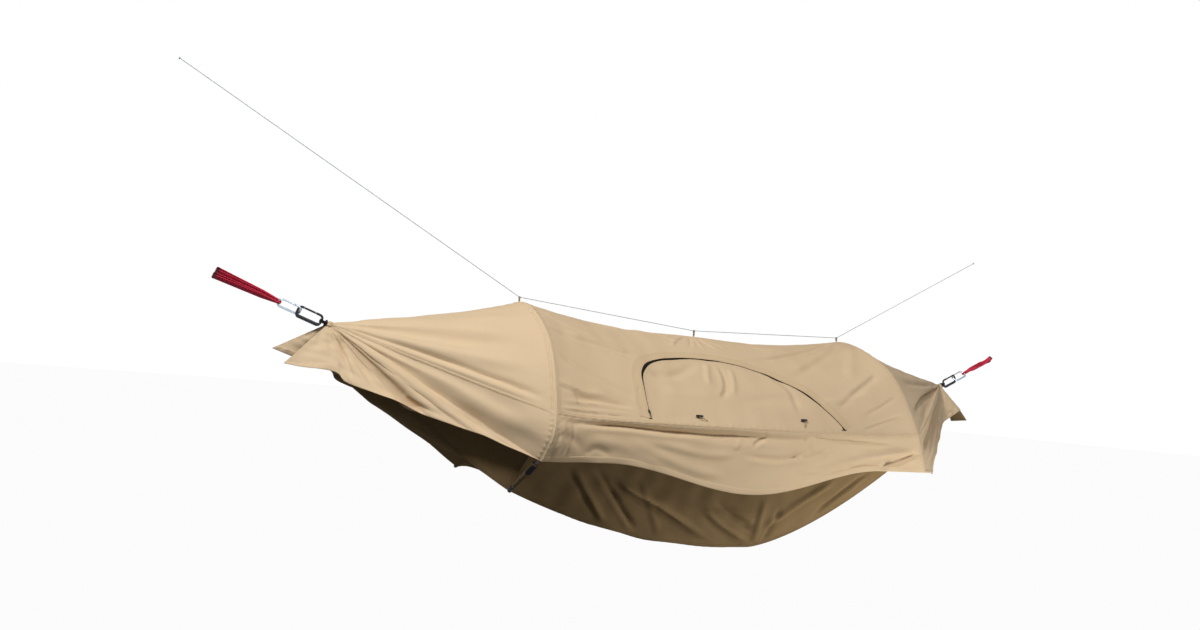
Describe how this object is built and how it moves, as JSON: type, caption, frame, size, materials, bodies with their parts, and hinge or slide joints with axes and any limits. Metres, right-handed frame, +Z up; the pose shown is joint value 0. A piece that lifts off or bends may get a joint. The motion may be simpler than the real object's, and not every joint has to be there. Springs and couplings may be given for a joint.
{
  "type": "canopied camping hammock",
  "caption": "Hammock bed under a zipped canvas canopy on sprung hoops, hung at each end by carabiners and a webbing sling.",
  "frame": {"origin": "on the flat inside of the eye at the end of the head sling's upper leg, where the hammock hangs", "axes": "+X from the head end to the foot end, level between the two gathers; +Y away from the door side; +Z up"},
  "size_m": [4.1407, 1.1309, 1.6594],
  "materials": {
    "black_metal": "black anodised",
    "black_plastic": "moulded",
    "black_webbing": "black webbing",
    "bright_metal": "polished, slightly bluish",
    "canvas": "woven polycotton, matt",
    "canvas_end": "woven polycotton, matt, a shade lighter",
    "cord": "pale grey braided cord",
    "hook_and_loop": "black hook-and-loop tape",
    "pole": "plain tube",
    "red_webbing": "crimson webbing with a slight sheen",
    "tub_cloth": "dark coated cloth, matt",
    "zip_tape": "dark zip tape and coil"
  },
  "bodies": {
    "hammock": {"canopy_head_near": "canvas_end", "canopy_foot_near": "canvas_end", "canopy_middle_near": "canvas", "skirt_near": "canvas", "canopy_head_far": "canvas_end", "canopy_foot_far": "canvas_end", "canopy_middle_far": "canvas", "skirt_far": "canvas", "tub_wall_near": "tub_cloth", "tub_wall_far": "tub_cloth", "tub_floor": "tub_cloth", "tub_head_floor": "tub_cloth", "tub_head_side_near": "tub_cloth", "tub_head_side_far": "tub_cloth", "tub_head_tail": "tub_cloth", "tub_foot_floor": "tub_cloth", "tub_foot_side_near": "tub_cloth", "tub_foot_side_far": "tub_cloth", "tub_foot_tail": "tub_cloth", "head_hoop": "pole", "head_sleeve_near": "tub_cloth", "head_cup_near": "black_plastic", "head_sleeve_far": "tub_cloth", "head_cup_far": "black_plastic", "foot_hoop": "pole", "foot_sleeve_near": "tub_cloth", "foot_cup_near": "black_plastic", "foot_sleeve_far": "tub_cloth", "foot_cup_far": "black_plastic", "door_zip": "zip_tape", "head_gather": "tub_cloth", "foot_gather": "tub_cloth", "ridge_line": "cord", "ridge_knot_head": "cord", "ridge_knot_foot": "cord", "ridge_loop_head": "canvas", "ridge_loop_middle": "canvas", "ridge_loop_foot": "canvas"},
    "door": {"door_panel": "canvas"},
    "zip_slider": {"zip_slider": "black_plastic"},
    "toggle_head": {"toggle_head": "black_plastic", "toggle_head_cord": "cord"},
    "toggle_foot": {"toggle_foot": "black_plastic", "toggle_foot_cord": "cord"},
    "head_black_link": {"head_black_link_body": "black_metal", "head_end_loop": "black_webbing"},
    "head_black_gate": {"head_black_link_gate": "black_metal"},
    "head_bright_link": {"head_bright_link_body": "bright_metal"},
    "head_bright_gate": {"head_bright_link_gate": "bright_metal"},
    "head_sling": {"head_sling": "red_webbing"},
    "head_tab_near": {"head_tab_near": "hook_and_loop"},
    "head_tab_far": {"head_tab_far": "hook_and_loop"},
    "foot_black_link": {"foot_black_link_body": "black_metal", "foot_end_loop": "black_webbing"},
    "foot_black_gate": {"foot_black_link_gate": "black_metal"},
    "foot_bright_link": {"foot_bright_link_body": "bright_metal"},
    "foot_bright_gate": {"foot_bright_link_gate": "bright_metal"},
    "foot_sling": {"foot_sling": "red_webbing"},
    "foot_tab_near": {"foot_tab_near": "hook_and_loop"},
    "foot_tab_far": {"foot_tab_far": "hook_and_loop"}
  },
  "joints": [
    {"name": "door_swing", "type": "hinge", "parent": "hammock", "child": "door", "pos_m": [1.98746, -0.46351, -0.38492], "axis": [0.9992, 0.0394, 0], "range_deg": [0, 150]},
    {"name": "zip_slide", "type": "slide", "parent": "hammock", "child": "zip_slider", "axis": [0.0931, 0.6572, 0.7479], "range_m": [0, 0.0825]},
    {"name": "toggle_head_swing", "type": "hinge", "parent": "door", "child": "toggle_head", "pos_m": [1.78133, -0.46399, -0.38235], "axis": [0.9992, 0.0394, 0], "range_deg": [0, 30]},
    {"name": "toggle_foot_swing", "type": "hinge", "parent": "door", "child": "toggle_foot", "pos_m": [2.27693, -0.44498, -0.38175], "axis": [0.9992, 0.0394, 0], "range_deg": [0, 30]},
    {"name": "head_chain_swing", "type": "hinge", "parent": "hammock", "child": "head_black_link", "pos_m": [0.40789, 0.01131, -0.13371], "axis": [0, 1, 0], "range_deg": [-10, 25]},
    {"name": "head_black_gate_swing", "type": "hinge", "parent": "head_black_link", "child": "head_black_gate", "pos_m": [0.35396, 0.01131, -0.0948], "axis": [0, -1, 0], "range_deg": [0, 25], "stiffness_Nm_per_rad": 0.15, "springref_deg": -14.32},
    {"name": "head_bright_link_swing", "type": "hinge", "parent": "head_black_link", "child": "head_bright_link", "pos_m": [0.29018, 0.01131, -0.09166], "axis": [-0.3364, 0, -0.9417], "range_deg": [-12, 12]},
    {"name": "head_bright_gate_swing", "type": "hinge", "parent": "head_bright_link", "child": "head_bright_gate", "pos_m": [0.27776, -0.00163, -0.07348], "axis": [-0.2379, -0.7071, -0.6659], "range_deg": [0, 25], "stiffness_Nm_per_rad": 0.15, "springref_deg": -14.32},
    {"name": "head_sling_swing", "type": "hinge", "parent": "head_bright_link", "child": "head_sling", "pos_m": [0.22238, 0.01131, -0.06743], "axis": [-0.2379, 0.7071, -0.6659], "range_deg": [-40, 40]},
    {"name": "head_tab_near_peel", "type": "hinge", "parent": "hammock", "child": "head_tab_near", "pos_m": [1.05944, -0.46116, -0.58768], "axis": [-0.2346, 0.7271, -0.6452], "range_deg": [0, 90]},
    {"name": "head_tab_far_peel", "type": "hinge", "parent": "hammock", "child": "head_tab_far", "pos_m": [1.0836, 0.48064, -0.59292], "axis": [-0.2346, -0.7271, -0.6452], "range_deg": [0, 90]},
    {"name": "foot_chain_swing", "type": "hinge", "parent": "hammock", "child": "foot_black_link", "pos_m": [3.55289, 0.01131, -0.13371], "axis": [0, -1, 0], "range_deg": [-10, 25]},
    {"name": "foot_black_gate_swing", "type": "hinge", "parent": "foot_black_link", "child": "foot_black_gate", "pos_m": [3.60282, 0.01131, -0.08977], "axis": [0, 1, 0], "range_deg": [0, 25], "stiffness_Nm_per_rad": 0.15, "springref_deg": -14.32},
    {"name": "foot_bright_link_swing", "type": "hinge", "parent": "foot_black_link", "child": "foot_bright_link", "pos_m": [3.666, 0.01131, -0.08049], "axis": [0.4258, 0, -0.9048], "range_deg": [-12, 12]},
    {"name": "foot_bright_gate_swing", "type": "hinge", "parent": "foot_bright_link", "child": "foot_bright_gate", "pos_m": [3.6766, 0.02425, -0.0612], "axis": [0.3011, 0.7071, -0.6398], "range_deg": [0, 25], "stiffness_Nm_per_rad": 0.15, "springref_deg": -14.32},
    {"name": "foot_sling_swing", "type": "hinge", "parent": "foot_bright_link", "child": "foot_sling", "pos_m": [3.73114, 0.01131, -0.04983], "axis": [0.3011, -0.7071, -0.6398], "range_deg": [-40, 40]},
    {"name": "foot_tab_near_peel", "type": "hinge", "parent": "hammock", "child": "foot_tab_near", "pos_m": [2.90125, -0.43146, -0.46903], "axis": [0.1408, 0.618, -0.7735], "range_deg": [0, 90]},
    {"name": "foot_tab_far_peel", "type": "hinge", "parent": "hammock", "child": "foot_tab_far", "pos_m": [2.92591, 0.45591, -0.46599], "axis": [0.1408, -0.618, -0.7735], "range_deg": [0, 90]}
  ]
}
